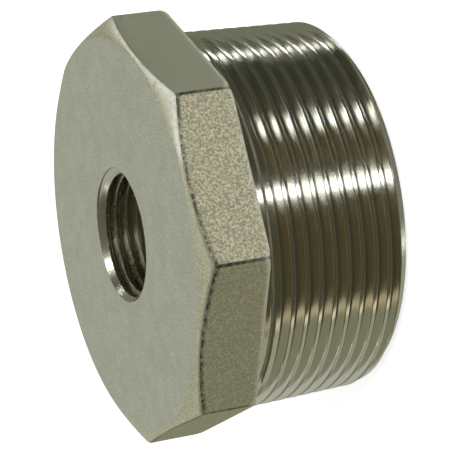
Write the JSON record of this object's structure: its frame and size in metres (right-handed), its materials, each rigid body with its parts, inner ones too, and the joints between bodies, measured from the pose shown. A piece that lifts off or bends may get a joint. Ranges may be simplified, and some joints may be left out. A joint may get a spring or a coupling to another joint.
{
  "type": "stainless steel reducer",
  "caption": "Reducing bushing with an octagonal head, a taper pipe thread outside and a smaller threaded bore inside, joining a small pipe to a large fitting.",
  "frame": {"origin": "centre of the male end face, on the thread axis", "axes": "+Z along the axis of both threads, from the male end to the head; one wrench flat faces +X"},
  "size_m": [0.0628, 0.0628, 0.0354],
  "materials": {
    "stainless_steel": "cast flats with a fine grain, lathe-turned face, bright cut threads"
  },
  "bodies": {
    "root": {"reducer_body": "stainless_steel"}
  },
  "joints": []
}
